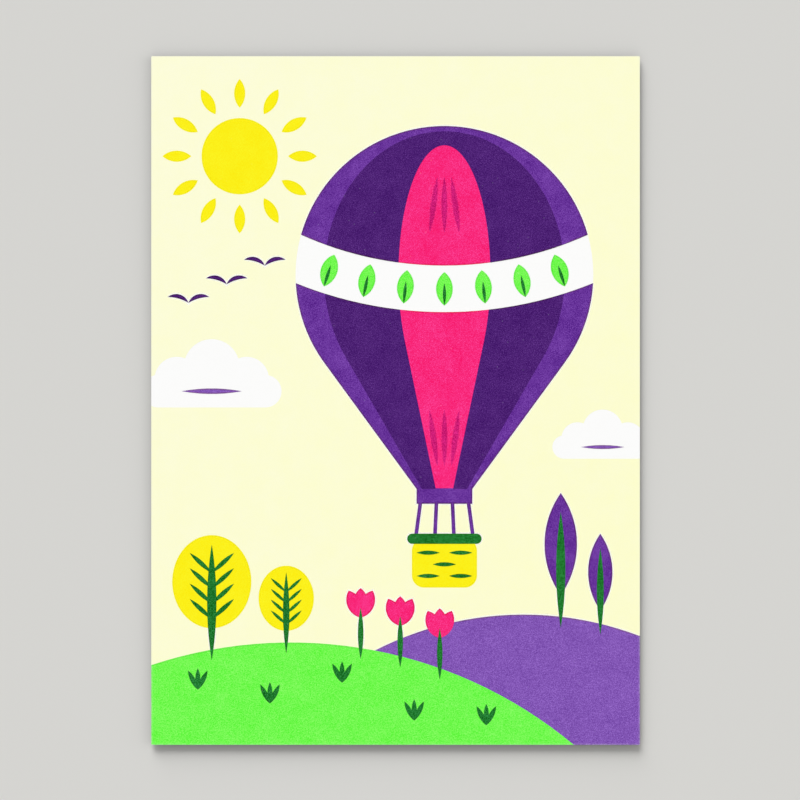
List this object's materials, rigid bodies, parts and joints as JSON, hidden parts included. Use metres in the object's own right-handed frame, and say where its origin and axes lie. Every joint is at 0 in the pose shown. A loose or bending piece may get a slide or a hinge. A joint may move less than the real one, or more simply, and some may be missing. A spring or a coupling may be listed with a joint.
{
  "type": "postcard",
  "caption": "Flat rectangular picture postcard of layered board, with matt ink films on its face and a divided writing back.",
  "frame": {"origin": "middle of the back face, on the surface that the card lies on", "axes": "+X across the picture to its right, +Y towards the picture's top, +Z out of the printed face"},
  "size_m": [0.105, 0.148, 0.0004],
  "materials": {
    "back_ply": "uncoated paper",
    "core_ply": "uncoated paper",
    "front_ply": "uncoated paper",
    "cream_ink": "matt printing ink",
    "yellow_ink": "matt printing ink",
    "lilac_ink": "matt printing ink",
    "lime_ink": "matt printing ink",
    "pink_ink": "matt printing ink",
    "rose_ink": "matt printing ink",
    "violet_ink": "matt printing ink",
    "leaf_green_ink": "matt printing ink",
    "purple_ink": "matt printing ink",
    "divider_rule": "matt printing ink",
    "address_rules": "matt printing ink",
    "stamp_frame": "matt printing ink"
  },
  "bodies": {
    "root": {"back_ply": "back_ply", "core_ply": "core_ply", "front_ply": "front_ply", "cream_ink": "cream_ink", "yellow_ink": "yellow_ink", "lilac_ink": "lilac_ink", "lime_ink": "lime_ink", "pink_ink": "pink_ink", "rose_ink": "rose_ink", "violet_ink": "violet_ink", "leaf_green_ink": "leaf_green_ink", "purple_ink": "purple_ink", "divider_rule": "divider_rule", "address_rules": "address_rules", "stamp_frame": "stamp_frame"}
  },
  "joints": []
}
